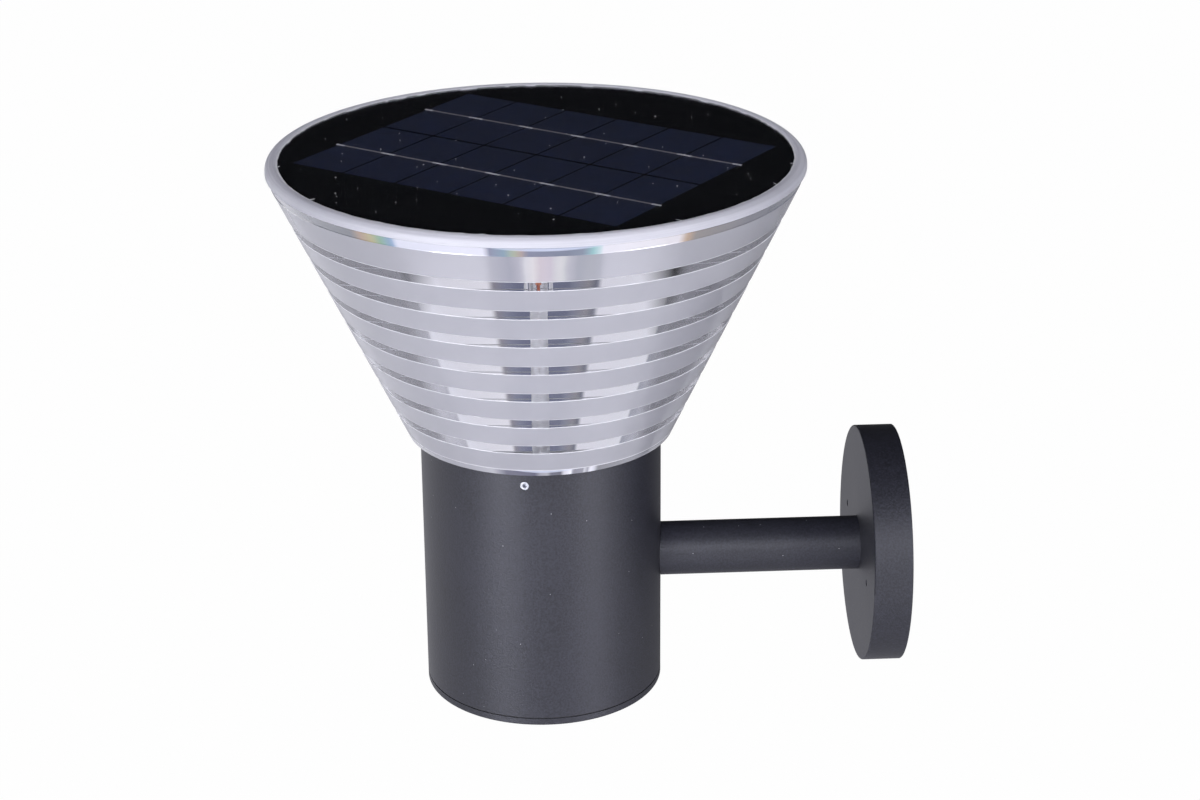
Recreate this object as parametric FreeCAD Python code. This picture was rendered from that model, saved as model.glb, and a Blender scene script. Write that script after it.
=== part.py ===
"""Solar wall light: a solid clear diffuser cone under a round solar panel, on a tube body with a side arm.

Millimetres. The row's origin is the centre of the wall bracket's back face, +X points into the wall and
+Z is up. The lamp pieces are drawn about their own upright axis, with height 0 at the body's bottom,
and then moved to the row's frame.
"""
import FreeCAD, Part
import math
import os

V = FreeCAD.Vector
UP = V(0, 0, 1)
TO_WALL = V(1, 0, 0)

# ---- Overall sizes ----
diffuser_height = 102.8       # diffuser's lower edge to the top of the rim
rim_radius = 95.0
rim_bead_radius = 2.75
rim_width = 4.4               # rim's outside to the solar panel
foot_radius = 48.4            # diffuser's lower edge, which overhangs the body
body_radius = 44.0
body_wall = 3.0
arm_height = 49.3             # arm's axis above the body's bottom
arm_length = 74.0             # seen between the body and the wall plate
arm_radius = 10.0
arm_wall = 3.0
plate_radius = 44.0
plate_depth = 14.0
plate_wall = 3.0
plate_face = 3.5              # thickness of the wall plate's front

# ---- Diffuser: clear grooves between frosted bands ----
band_pitch = 11.95
clear_band = 4.0              # height of each clear groove
first_band_drop = 16.9        # rim's top to the first groove's upper edge
rim_band_drop = 4.1           # rim's top to the narrow clear band under the rim
rim_band = 2.3
groove_depth = 0.2
groove_bevel = 0.2
foot_lip = 2.0                # least plain height that stays under the last groove
bore_radius = 2.0             # wire bore on the axis
pocket_radius = 3.3           # wider top of the bore, for the soldered joints
pocket_depth = 23.0
spigot_depth = 5.0            # goes down into the collar

# ---- Solar panel ----
panel_inset = 0.45            # panel's top below the rim's top
cover_thickness = 1.0
cover_gap = 0.15
board_thickness = 2.0
film_thickness = 0.3
sealant_width = 0.5
cell_length = 52.0            # across the ribbon
cell_width = 21.6             # along the ribbon
cell_thickness = 0.35
cell_gap = 0.8
row_gap = 1.3
row_count = 2
panel_margin = 4.0            # least bare edge beyond a cell's corner
cell_turn = -36.0             # ribbon direction from +X, degrees
ribbon_width = 0.9
ribbon_thickness = 0.12
ribbon_overhang = 1.0
terminal_radius = 0.95
terminal_thickness = 0.3

# ---- Collar, light source and top seal ----
gasket_thickness = 0.8
collar_wall = 3.0
collar_floor = 3.0
collar_clearance = 0.3
spigot_clearance = 0.2
collar_hole_radius = 7.5
led_board_thickness = 1.6
led_board_hole_radius = 6.0
led_count = 24
led_edge = 6.0                # chips' ring in from the spigot's outside
led_size = 3.0
led_height = 0.9
led_clearance = 1.2           # chips' tops to the diffuser's spigot
reflector_thickness = 0.4
diffuser_screw_ring = 22.0
diffuser_screw_radius = 2.0
diffuser_screw_length = 15.0
grub_drop = 6.0               # set screws below the diffuser's lower edge
grub_angle = -99.6            # first set screw, degrees from +X
grub_radius = 1.5
grub_length = 4.0
grub_inset = 0.15
grub_groove = 0.9             # depth of the collar's groove behind the set screws

# ---- Body, bottom cap and push button ----
cap_thickness = 2.6
cap_gasket = 0.5
cap_gasket_inset = 0.4
cap_spigot = 3.0
cap_spigot_wall = 2.0
cap_clearance = 0.3
edge_round = 0.5
port_radius = 3.6             # screw ports along the inside of the extruded body
port_bore = 1.5
port_count = 3
cap_screw_radius = 1.4
cap_screw_length = 14.0
cap_head_radius = 2.8
cap_head_height = 1.7
button_radius = 5.0
button_clearance = 0.3
button_inset = 0.3
button_travel = 1.5
guide_wall = 2.7
guide_height = 2.4            # guide ring above the cap's inside
flange_radius = 6.5
flange_thickness = 1.0
oring_section = 0.65
oring_clearance = 0.08
post_height = 9.4             # cap's inside to the controller board
post_radius = 3.0
post_ring = 22.0
board_screw_radius = 1.4
board_margin = 11.0           # controller board's edge to the inside of the body
pcb_thickness = 1.6
switch_side = 12.0
switch_height = 4.0
plunger_radius = 2.0
plunger_depth = 1.0           # how far the plunger stands in the switch at rest

# ---- Controller ----
board_screw_head = 1.8        # head height
board_screw_head_radius = board_screw_radius * 1.9
board_screw_reach = 5.0       # shank below the board
board_screw_socket = 2.0      # across flats
board_screw_socket_depth = 1.1
coil_radius = 4.0
coil_height = 5.0
coil_bore = 1.2
coil_place = (9.5, -14.0)     # from the lamp's axis
capacitor_radius = 3.1
capacitor_height = 6.0
capacitor_place = (13.5, 13.0)
chip_low = (8.5, -3.0)        # each block's near and far corner on the board, then its height
chip_high = (14.0, 3.0)
chip_height = 1.5
diode_low = (20.0, 11.0)
diode_high = (24.0, 13.5)
diode_height = 2.2
shunt_low = (20.5, -13.0)
shunt_high = (24.0, -11.0)
shunt_height = 1.0
connector_x = 21.0
connector_half = (3.0, 7.5)
connector_height = 6.0

# ---- Battery ----
cell18_radius = 9.2
cell18_length = 65.0
battery_x = -8.0
battery_pitch = 19.2
holder_wall = 1.8
holder_lift = 2.4             # controller board to the holder's floor
holder_clearance = 0.2
holder_leg_radius = 1.6
wiring_space = 4.7            # battery holder to the collar

# ---- Wires ----
wire_radius = 0.5
sleeve_radius = 0.9
sleeve_length = 19.0
wire_spacing = 2.0
lead_first_drop = 3.0         # the leads' bends, below the collar's underside
lead_second_drop = 6.0
lead_third_drop = 14.0
panel_lead_drop = 20.0
light_lead_drop = 26.0
battery_lead_y = 17.0         # where the battery's leads leave its holder
battery_pin_y = 3.4           # and where they enter the connector

# ---- Arm fixings, wall plate and bracket ----
saddle_clearance = 0.1
insert_length = 14.0
insert_clearance = 0.1
insert_inset = 2.0            # arm's end to its insert
bolt_radius = 3.9
bolt_clearance = 0.3
bolt_flats = 13.0
bolt_head_height = 5.0
bolt_length = 22.0
saddle_washer_radius = 10.0
saddle_washer_thickness = 3.5
plate_washer_radius = 8.0
plate_washer_thickness = 1.5
bracket_thickness = 2.5
bracket_half_width = 9.0
bracket_clearance = 1.9       # bracket's end to the wall gasket
slot_end = 9.5                # bracket's end to a slot's middle
slot_length = 10.0
slot_radius = 2.3
pillar_inset = 15.5           # plate's inner wall to a pillar's axis
pillar_turn = 11.0            # pillars' line from +Y, degrees
pillar_radius = 2.9
pillar_end = 7.5              # pillar's axis to the bracket's end
plate_screw_radius = 1.15
set_screw_length = 10.0
set_screw_inset = 0.4
wall_gasket_width = 2.4
wall_gasket_thickness = 2.0

# ---- Sizes that follow ----
holder_height = cell18_length + 2 * (holder_wall + holder_clearance)
pcb_low = cap_thickness + post_height
pcb_high = pcb_low + pcb_thickness
holder_low = pcb_high + holder_lift
collar_low = holder_low + holder_height + wiring_space
led_board_low = collar_low + collar_floor
led_board_high = led_board_low + led_board_thickness
led_top = led_board_high + led_height
spigot_low = led_top + led_clearance
foot_height = spigot_low + spigot_depth
lamp_height = foot_height + diffuser_height
grub_height = foot_height - grub_drop
plate_front_x = -plate_depth
lamp_x = plate_front_x - arm_length - body_radius
body_inner = body_radius - body_wall
tube_low = cap_thickness + cap_gasket
tube_high = foot_height - gasket_thickness
collar_radius = body_inner - collar_clearance
collar_inner = collar_radius - collar_wall
spigot_radius = collar_inner - spigot_clearance
led_ring_radius = spigot_radius - led_edge
panel_radius = rim_radius - rim_width
panel_top = lamp_height - panel_inset
cover_low = panel_top - cover_thickness
board_high = cover_low - cover_gap
board_low = board_high - board_thickness
recess_floor = board_low - film_thickness
recess_radius = panel_radius + sealant_width
sleeve_low = board_low - terminal_thickness - sleeve_length
cell18_low = holder_low + holder_wall + holder_clearance
cell18_high = cell18_low + cell18_length
port_ring = body_inner - port_radius + 0.4
board_radius = body_inner - board_margin
plate_inner = plate_radius - plate_wall
pillar_ring = plate_inner - pillar_inset
bracket_half_height = plate_inner - wall_gasket_width - 0.2 - bracket_clearance
bracket_half_span = pillar_ring + pillar_end
slot_half_spacing = bracket_half_height - slot_end
row_pitch = cell_length + row_gap
cell_pitch = cell_width + cell_gap
rows_half = (row_count * row_pitch - row_gap) / 2
row_room = 2 * math.sqrt((panel_radius - panel_margin) ** 2 - rows_half ** 2)
cells_per_row = int((row_room + cell_gap) / cell_pitch)
port_angles = [grub_angle + 60.0 + 360.0 / port_count * k for k in range(port_count)]


def save(name, shapes):
    """Write one sub-part, moved from the lamp's own axis to the row's frame."""
    solid = shapes[0] if len(shapes) == 1 else Part.makeCompound(shapes)
    solid = solid.copy()
    solid.translate(V(lamp_x, 0, -arm_height))
    solid.exportStep("parts/" + name + ".step")
    print(name, len(solid.Solids), round(sum(s.Volume for s in solid.Solids), 2), solid.isValid())


def ring(radius, low, high, inner=0.0, x=0.0, y=0.0):
    """Upright cylinder, or a ring where it has an inner radius."""
    outer = Part.makeCylinder(radius, high - low, V(x, y, low), UP)
    if inner <= 0:
        return outer
    return outer.cut(Part.makeCylinder(inner, high - low + 2, V(x, y, low - 1), UP))


def rod(radius, start, end, inner=0.0, y=0.0, z=0.0):
    """Cylinder along X, its ends given in the row's frame, y and z from the arm's axis."""
    place = V(start - lamp_x, y, arm_height + z)
    outer = Part.makeCylinder(radius, end - start, place, TO_WALL)
    if inner <= 0:
        return outer
    return outer.cut(Part.makeCylinder(inner, end - start + 2, place - TO_WALL, TO_WALL))


def block(low, high):
    return Part.makeBox(high[0] - low[0], high[1] - low[1], high[2] - low[2], V(*low))


def on_ring(radius, angle):
    turn = math.radians(angle)
    return radius * math.cos(turn), radius * math.sin(turn)


def turned(shape, angle):
    """Copy of a shape turned about the lamp's axis."""
    copy = shape.copy()
    copy.rotate(V(0, 0, 0), UP, angle)
    return copy


def hexagon(flats, start, direction, length):
    """Hexagonal prism along a direction."""
    corner = flats / math.sqrt(3)
    points = [V(*on_ring(corner, 60 * k), 0) for k in range(7)]
    prism = Part.Face(Part.makePolygon(points)).extrude(UP * length)
    prism.Placement = FreeCAD.Placement(start, FreeCAD.Rotation(UP, direction))
    return prism


def round_edges(shape, radius, height):
    """Round the circular edges that lie at one height."""
    edges = [e for e in shape.Edges
             if abs(e.BoundBox.ZMin - height) < 1e-4 and abs(e.BoundBox.ZMax - height) < 1e-4]
    outer = max(edges, key=lambda e: e.BoundBox.XLength)
    return shape.makeFillet(radius, [outer])


def wire_along(points, radius):
    """Round wire along straight runs joined by tangent arcs."""
    corners = [V(*p) for p in points]
    edges = []
    last = corners[0]
    for before, here, after in zip(corners, corners[1:], corners[2:]):
        way_in = (here - before).normalize()
        way_out = (after - here).normalize()
        half_turn = way_in.getAngle(way_out) / 2
        trim = 0.45 * min((here - before).Length, (after - here).Length)
        bend = trim / math.tan(half_turn)
        start = here - way_in * trim
        end = here + way_out * trim
        inward = (way_out - way_in).normalize()
        middle = here + inward * (bend / math.cos(half_turn) - bend)
        edges.append(Part.LineSegment(last, start).toShape())
        edges.append(Part.Arc(start, middle, end).toShape())
        last = end
    edges.append(Part.LineSegment(last, corners[-1]).toShape())
    first_way = corners[1] - corners[0]
    section = Part.Wire([Part.Circle(corners[0], first_way, radius).toShape()])
    return Part.Wire(edges).makePipeShell([section], True, False)


# ---- Diffuser ----

def bead_tangent():
    """Point where the cone's straight side, drawn from the foot, touches the rounded rim."""
    centre_r = rim_radius - rim_bead_radius
    centre_z = lamp_height - rim_bead_radius
    run = centre_r - foot_radius
    rise = centre_z - foot_height
    reach = math.hypot(run, rise)
    side = math.atan2(rise, run) - math.asin(rim_bead_radius / reach)
    length = math.sqrt(reach ** 2 - rim_bead_radius ** 2)
    return foot_radius + length * math.cos(side), foot_height + length * math.sin(side)


def diffuser_cone():
    top_r, top_z = bead_tangent()
    slope = (top_r - foot_radius) / (top_z - foot_height)

    def side(z):
        return foot_radius + (z - foot_height) * slope

    grooves = [(lamp_height - rim_band_drop - rim_band, lamp_height - rim_band_drop)]
    upper = lamp_height - first_band_drop
    while upper - clear_band > foot_height + foot_lip:
        grooves.append((upper - clear_band, upper))
        upper -= band_pitch
    outline = [(foot_radius, foot_height)]
    for low, high in sorted(grooves):
        outline.append((side(low), low))
        outline.append((side(low) - groove_depth, low))
        outline.append((side(high - groove_bevel) - groove_depth, high - groove_bevel))
        outline.append((side(high), high))
    outline.append((top_r, top_z))

    centre = V(rim_radius - rim_bead_radius, 0, lamp_height - rim_bead_radius)
    inner = recess_radius - centre.x
    crown = V(recess_radius, 0, centre.z + math.sqrt(rim_bead_radius ** 2 - inner ** 2))
    bead = Part.Arc(V(top_r, 0, top_z), centre + V(rim_bead_radius, 0, 0), crown).toShape()
    hollow = [
        (recess_radius, crown.z), (recess_radius, recess_floor), (pocket_radius, recess_floor),
        (pocket_radius, recess_floor - pocket_depth), (bore_radius, recess_floor - pocket_depth),
        (bore_radius, spigot_low), (spigot_radius, spigot_low), (spigot_radius, foot_height),
        (foot_radius, foot_height),
    ]
    side_wire = Part.makePolygon([V(r, 0, z) for r, z in outline])
    hollow_wire = Part.makePolygon([V(r, 0, z) for r, z in hollow])
    section = Part.Face(Part.Wire(side_wire.Edges + [bead] + hollow_wire.Edges))
    cone = section.revolve(V(0, 0, 0), UP, 360)
    depth = collar_low + diffuser_screw_length - spigot_low + 1
    holes = [ring(diffuser_screw_radius - 0.2, spigot_low - 1, spigot_low + depth, 0,
                  *on_ring(diffuser_screw_ring, a))
             for a in port_angles]
    return cone.cut(holes)


# ---- Solar panel ----

def cell_places():
    """Centre of each cell, before the rows are turned: x along the ribbon, y across it."""
    for row in range(row_count):
        for place in range(cells_per_row):
            yield (place - (cells_per_row - 1) / 2) * cell_pitch, (row - (row_count - 1) / 2) * row_pitch


def solar_cells(spare=0.0):
    half_w = cell_width / 2 + spare
    half_l = cell_length / 2 + spare
    low = board_high - cell_thickness
    return [turned(block((x - half_w, y - half_l, low), (x + half_w, y + half_l, board_high)), cell_turn)
            for x, y in cell_places()]


def cell_ribbons():
    half = (cells_per_row * cell_pitch - cell_gap) / 2 + ribbon_overhang
    high = board_high + ribbon_thickness
    ribbons = []
    for row in range(row_count):
        y = (row - (row_count - 1) / 2) * row_pitch
        ribbons.append(block((-half, y - ribbon_width / 2, board_high), (half, y + ribbon_width / 2, high)))
    return [turned(r, cell_turn) for r in ribbons]


def panel_board():
    return ring(panel_radius, board_low, board_high).cut(solar_cells(0.05))


# ---- Collar, light source and seals at the diffuser's foot ----

def hexagon_screw(radius, length, start, direction):
    """Set screw with a hexagon socket as wide as its radius, from its outer end inwards."""
    screw = Part.makeCylinder(radius, length, start, direction)
    return screw.cut(hexagon(radius, start - direction * 0.5, direction, length * 0.45 + 0.5))


def diffuser_collar():
    collar = ring(collar_radius, collar_low, tube_high, collar_hole_radius)
    collar = collar.cut(ring(collar_inner, led_board_low, tube_high + 1))
    groove = ring(collar_radius + 1, grub_height - grub_radius - 0.3, grub_height + grub_radius + 0.3,
                  collar_radius - grub_groove)
    holes = [ring(diffuser_screw_radius + 0.2, collar_low - 1, collar_low + collar_floor + 1, 0,
                  *on_ring(diffuser_screw_ring, a)) for a in port_angles]
    return collar.cut([groove] + holes)


def diffuser_screws():
    screws = []
    for angle in port_angles:
        x, y = on_ring(diffuser_screw_ring, angle)
        shank = ring(diffuser_screw_radius - 0.3, collar_low, collar_low + diffuser_screw_length, 0, x, y)
        head = ring(diffuser_screw_radius * 2, collar_low - 2.6, collar_low, 0, x, y)
        recess = hexagon(2.5, V(x, y, collar_low - 3), UP, 1.9)
        screws.append(shank.fuse(head).removeSplitter().cut(recess))
    return screws


def led_board():
    board = ring(spigot_radius, led_board_low, led_board_high, led_board_hole_radius)
    return board.cut([ring(diffuser_screw_radius + 0.2, led_board_low - 1, led_board_high + 1, 0,
                           *on_ring(diffuser_screw_ring, a)) for a in port_angles])


def led_chips():
    half = led_size / 2
    chip = block((led_ring_radius - half, -half, led_board_high), (led_ring_radius + half, half, led_top))
    return [turned(chip, 360.0 / led_count * (k + 0.5)) for k in range(led_count)]


def led_reflector():
    """White sheet over the light board, with a window for each chip."""
    sheet = ring(spigot_radius, led_board_high, led_board_high + reflector_thickness, led_board_hole_radius)
    half = led_size / 2 + 0.15
    window = block((led_ring_radius - half, -half, led_board_high - 1),
                   (led_ring_radius + half, half, led_board_high + 1))
    cuts = [turned(window, 360.0 / led_count * (k + 0.5)) for k in range(led_count)]
    cuts += [ring(diffuser_screw_radius + 0.2, led_board_high - 1, led_board_high + 1, 0,
                  *on_ring(diffuser_screw_ring, a)) for a in port_angles]
    return sheet.cut(cuts)


def grub_screws():
    screws = []
    for k in range(port_count):
        x, y = on_ring(body_radius - grub_inset, grub_angle + 360.0 / port_count * k)
        inward = V(-x, -y, 0).normalize()
        screws.append(hexagon_screw(grub_radius, grub_length, V(x, y, grub_height), inward))
    return screws


# ---- Body and bottom cap ----

def body_tube():
    tube = ring(body_radius, tube_low, tube_high, body_inner)
    ports = [ring(port_radius, tube_low, collar_low, 0, *on_ring(port_ring, a)) for a in port_angles]
    shell = ring(body_radius, tube_low, tube_high)
    tube = tube.fuse([p.common(shell) for p in ports]).removeSplitter()
    cuts = [ring(port_bore, tube_low - 1, collar_low + 1, 0, *on_ring(port_ring, a)) for a in port_angles]
    for k in range(port_count):
        x, y = on_ring(body_radius + 1, grub_angle + 360.0 / port_count * k)
        inward = V(-x, -y, 0).normalize()
        cuts.append(Part.makeCylinder(grub_radius + 0.1, body_wall + 2, V(x, y, grub_height), inward))
    cuts.append(rod(bolt_radius + bolt_clearance, lamp_x + body_inner - 2, lamp_x + body_radius + 2))
    return tube.cut(cuts)


def bottom_cap():
    cap = round_edges(ring(body_radius, 0, cap_thickness), edge_round, 0)
    spigot_radius_out = body_inner - cap_clearance
    collar = ring(spigot_radius_out, cap_thickness, tube_low + cap_spigot, spigot_radius_out - cap_spigot_wall)
    gaps = [ring(port_radius + 0.5, cap_thickness, tube_low + cap_spigot + 1, 0, *on_ring(port_ring, a))
            for a in port_angles]
    guide = ring(button_radius + button_clearance + guide_wall, cap_thickness, cap_thickness + guide_height)
    posts = [ring(post_radius, cap_thickness, pcb_low, 0, *on_ring(post_ring, a)) for a in port_angles]
    cap = cap.fuse([collar.cut(gaps), guide] + posts).removeSplitter()
    cuts = [ring(button_radius + button_clearance, -1, cap_thickness + guide_height + 1)]
    cuts += [ring(board_screw_radius + 0.1, cap_thickness + 2, pcb_low + 1, 0, *on_ring(post_ring, a))
             for a in port_angles]
    for angle in port_angles:
        x, y = on_ring(port_ring, angle)
        cuts.append(ring(cap_screw_radius + 0.3, -1, cap_thickness + 1, 0, x, y))
        cuts.append(Part.makeCone(cap_head_radius + 0.1, cap_screw_radius + 0.3, cap_head_height,
                                  V(x, y, 0), UP))
    return cap.cut(cuts)


def cap_screws():
    screws = []
    for angle in port_angles:
        x, y = on_ring(port_ring, angle)
        head = Part.makeCone(cap_head_radius, cap_screw_radius, cap_head_height, V(x, y, 0.05), UP)
        shank = ring(cap_screw_radius, cap_head_height * 0.5, cap_screw_length, 0, x, y)
        screw = head.fuse(shank).removeSplitter()
        screws.append(screw.cut(hexagon(2.0, V(x, y, -0.5), UP, 1.6)))
    return screws


# ---- Push button ----

def groove_height():
    return cap_thickness + guide_height * 0.3


def power_button():
    seat = cap_thickness + guide_height + button_clearance
    stem = ring(button_radius, button_inset, seat)
    stem = round_edges(stem, 0.4, button_inset)
    flange = ring(flange_radius, seat, seat + flange_thickness)
    groove = ring(button_radius + 1, groove_height() - oring_section - 0.05, groove_height() + oring_section + 0.05,
                  button_radius + button_clearance - oring_clearance - 2 * oring_section - 0.03)
    return stem.fuse(flange).removeSplitter().cut(groove)


def button_oring():
    middle = button_radius + button_clearance - oring_clearance - oring_section
    return Part.makeTorus(middle, oring_section, V(0, 0, groove_height()), UP)


def switch_low():
    return pcb_low - switch_height


def switch_plunger():
    seat = cap_thickness + guide_height + button_clearance + flange_thickness
    return ring(plunger_radius, seat, switch_low() + plunger_depth)


def switch_housing():
    half = switch_side / 2
    housing = block((-half, -half, switch_low()), (half, half, pcb_low))
    corners = [e for e in housing.Edges if abs(e.BoundBox.ZLength - switch_height) < 1e-6]
    housing = housing.makeFillet(0.6, corners)
    return housing.cut(ring(plunger_radius + button_clearance, switch_low() - 1,
                            switch_low() + plunger_depth + button_travel + 0.5))


# ---- Controller ----

def controller_board():
    board = ring(board_radius, pcb_low, pcb_high)
    return board.cut([ring(board_screw_radius + 0.2, pcb_low - 1, pcb_high + 1, 0, *on_ring(post_ring, a))
                      for a in port_angles])


def board_screws():
    screws = []
    for angle in port_angles:
        x, y = on_ring(post_ring, angle)
        top = pcb_high + board_screw_head
        shank = ring(board_screw_radius, pcb_low - board_screw_reach, pcb_high, 0, x, y)
        head = ring(board_screw_head_radius, pcb_high, top, 0, x, y)
        socket = hexagon(board_screw_socket, V(x, y, top - board_screw_socket_depth), UP, board_screw_head)
        screws.append(shank.fuse(head).removeSplitter().cut(socket))
    return screws


def board_components():
    coil = ring(coil_radius, pcb_high, pcb_high + coil_height, 0, *coil_place)
    coil = coil.cut(ring(coil_bore, pcb_high + 2, pcb_high + coil_height + 1, 0, *coil_place))
    capacitor = ring(capacitor_radius, pcb_high, pcb_high + capacitor_height, 0, *capacitor_place)
    chip = block((*chip_low, pcb_high), (*chip_high, pcb_high + chip_height))
    diode = block((*diode_low, pcb_high), (*diode_high, pcb_high + diode_height))
    shunt = block((*shunt_low, pcb_high), (*shunt_high, pcb_high + shunt_height))
    return [coil, capacitor, chip, diode, shunt]


def board_connectors():
    half_x, half_y = connector_half
    return [block((connector_x - half_x, -half_y, pcb_high),
                  (connector_x + half_x, half_y, pcb_high + connector_height))]


# ---- Battery ----

def battery_cells():
    cells = []
    for side in (-0.5, 0.5):
        y = side * battery_pitch
        can = ring(cell18_radius, cell18_low, cell18_high - 1.0, 0, battery_x, y)
        button = ring(cell18_radius * 0.35, cell18_high - 1.0, cell18_high, 0, battery_x, y)
        cells.append(can.fuse(button).removeSplitter())
    return cells


def battery_holder():
    x0 = battery_x - cell18_radius - holder_clearance - holder_wall
    x1 = battery_x + cell18_radius
    y1 = battery_pitch / 2 + cell18_radius + holder_clearance + holder_wall
    top = cell18_high + holder_clearance + holder_wall
    case = block((x0, -y1, holder_low), (x1, y1, top))
    inside = block((x0 + holder_wall, -y1 + holder_wall, holder_low + holder_wall),
                   (x1 + 1, y1 - holder_wall, top - holder_wall))
    legs = [ring(holder_leg_radius, pcb_high, holder_low + holder_wall / 2, 0, x, y)
            for x in (x0 + 3, x1 - 3) for y in (-y1 + 7, y1 - 7)]
    return case.cut(inside).fuse(legs).removeSplitter()


# ---- Wires ----

def panel_wire(side):
    """Panel lead: down the bore, through the collar and down beside the battery to the controller."""
    y = side * wire_spacing * 0.3
    lane_y = side * wire_spacing * 0.75
    lane_x = connector_x - 1.5
    return wire_along([
        (0, y, sleeve_low), (0, y, spigot_low - 2),
        (lane_x * 0.35, lane_y * 0.5, collar_low - lead_second_drop),
        (lane_x, lane_y, collar_low - panel_lead_drop),
        (lane_x, lane_y, pcb_high + connector_height),
    ], wire_radius)


def wire_sleeves():
    return [ring(sleeve_radius, sleeve_low, sleeve_low + sleeve_length, 0, 0, side * wire_spacing / 2)
            for side in (-1, 1)]


def panel_terminals():
    return [ring(terminal_radius, board_low - terminal_thickness, board_low, 0, 0, side * wire_spacing / 2)
            for side in (-1, 1)]


def led_wires():
    wires = []
    for side in (-1, 1):
        x, y = on_ring((collar_hole_radius + led_board_hole_radius) / 2, side * 30.0)
        lane_y = side * (connector_half[1] - 2.0)
        wires.append(wire_along([
            (x, y, led_board_low), (x, y, collar_low - lead_first_drop),
            (connector_x * 0.6, lane_y, collar_low - lead_third_drop),
            (connector_x, lane_y, collar_low - light_lead_drop),
            (connector_x, lane_y, pcb_high + connector_height),
        ], wire_radius))
    return wires


def battery_wires():
    x = battery_x + cell18_radius
    low = pcb_high + connector_height
    wires = []
    for side in (-1, 1):
        wires.append(wire_along([
            (x + 0.3, side * battery_lead_y, holder_low + 1.0), (x + 6.0, side * battery_lead_y, low + 1.0),
            (connector_x, side * 10.5, low + 6.0), (connector_x + 1.5, side * battery_pin_y, low + 4.0),
            (connector_x + 1.5, side * battery_pin_y, low),
        ], wire_radius))
    return wires


# ---- Arm ----

def arm_tube():
    tube = rod(arm_radius, lamp_x + body_radius - 8, plate_front_x, arm_radius - arm_wall)
    return tube.cut(ring(body_radius + saddle_clearance, -20, lamp_height))


def arm_inserts():
    bore = arm_radius - arm_wall - insert_clearance
    near = lamp_x + body_radius + insert_inset
    far = plate_front_x - insert_inset
    return [rod(bore, near, near + insert_length, bolt_radius + 0.1),
            rod(bore, far - insert_length, far, bolt_radius + 0.1)]


def hexagon_bolt(seat, toward):
    """Bolt along the arm's axis: its head's underside at seat, its shank going toward + or - X."""
    way = TO_WALL * toward
    place = V(seat - lamp_x, 0, arm_height)
    head = hexagon(bolt_flats, place - way * bolt_head_height, way, bolt_head_height)
    return head.fuse(Part.makeCylinder(bolt_radius, bolt_length, place, way)).removeSplitter()


def saddle_washer():
    inner = lamp_x + body_inner - saddle_washer_thickness
    washer = rod(saddle_washer_radius, inner, lamp_x + body_inner + 1, bolt_radius + bolt_clearance)
    return washer.common(ring(body_inner - saddle_clearance, 0, lamp_height))


# ---- Wall plate and bracket ----

def pillar_places():
    y, z = on_ring(pillar_ring, pillar_turn)
    return [(y, z), (-y, -z)]


def wall_plate():
    plate = rod(plate_radius, plate_front_x, 0)
    rims = [e for e in plate.Edges
            if e.BoundBox.XLength < 1e-6 and e.BoundBox.XMin < -lamp_x + plate_front_x + 1e-3]
    plate = plate.makeFillet(edge_round, rims)
    cuts = [rod(plate_inner, plate_front_x + plate_face, 5)]
    cuts.append(rod(bolt_radius + bolt_clearance, plate_front_x - 1, plate_front_x + plate_face + 1))
    cuts += [rod(plate_screw_radius + 0.1, plate_front_x - 1, plate_front_x + plate_face + 1, 0, y, z)
             for y, z in pillar_places()]
    return plate.cut(cuts)


def plate_washer():
    inner = plate_front_x + plate_face
    return rod(plate_washer_radius, inner, inner + plate_washer_thickness, bolt_radius + bolt_clearance)


def bar(half_length, angle):
    """Flat bar with round ends, centred on the arm's axis; angle 0 lies along Y."""
    x0 = -lamp_x - bracket_thickness
    straight = half_length - bracket_half_width
    middle = block((x0, -straight, arm_height - bracket_half_width), (x0 + bracket_thickness, straight,
                                                                       arm_height + bracket_half_width))
    ends = [Part.makeCylinder(bracket_half_width, bracket_thickness, V(x0, s * straight, arm_height), TO_WALL)
            for s in (-1, 1)]
    shape = middle.fuse(ends).removeSplitter()
    shape.rotate(V(x0, 0, arm_height), TO_WALL, angle)
    return shape


def mounting_bracket():
    cross = bar(bracket_half_height, 90).fuse(bar(bracket_half_span, pillar_turn)).removeSplitter()
    x0 = -bracket_thickness - 1
    cuts = []
    half = slot_length / 2 - slot_radius
    for side in (-1, 1):
        middle = side * slot_half_spacing
        cuts.append(rod(slot_radius, x0, 1, 0, 0, middle - half))
        cuts.append(rod(slot_radius, x0, 1, 0, 0, middle + half))
        cuts.append(block((x0 - lamp_x, -slot_radius, arm_height + middle - half),
                          (1 - lamp_x, slot_radius, arm_height + middle + half)))
    return cross.cut(cuts)


def bracket_pillars():
    pillars = []
    start = plate_front_x + plate_face
    for y, z in pillar_places():
        place = V(start - lamp_x, y, arm_height + z)
        length = -bracket_thickness - start
        pillar = hexagon(pillar_radius * math.sqrt(3), place, TO_WALL, length)
        bore = Part.makeCylinder(plate_screw_radius + 0.1, length + 2, place - TO_WALL, TO_WALL)
        pillars.append(pillar.cut(bore))
    return pillars


def plate_set_screws():
    start = plate_front_x + set_screw_inset
    return [hexagon_screw(plate_screw_radius, set_screw_length, V(start - lamp_x, y, arm_height + z), TO_WALL)
            for y, z in pillar_places()]


def wall_gasket():
    outer = plate_inner - 0.2
    return rod(outer, -wall_gasket_thickness, 0, outer - wall_gasket_width)


os.makedirs("parts", exist_ok=True)
print("cone half-angle", round(math.degrees(math.atan((bead_tangent()[0] - foot_radius)
                                                      / (bead_tangent()[1] - foot_height))), 2))

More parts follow.
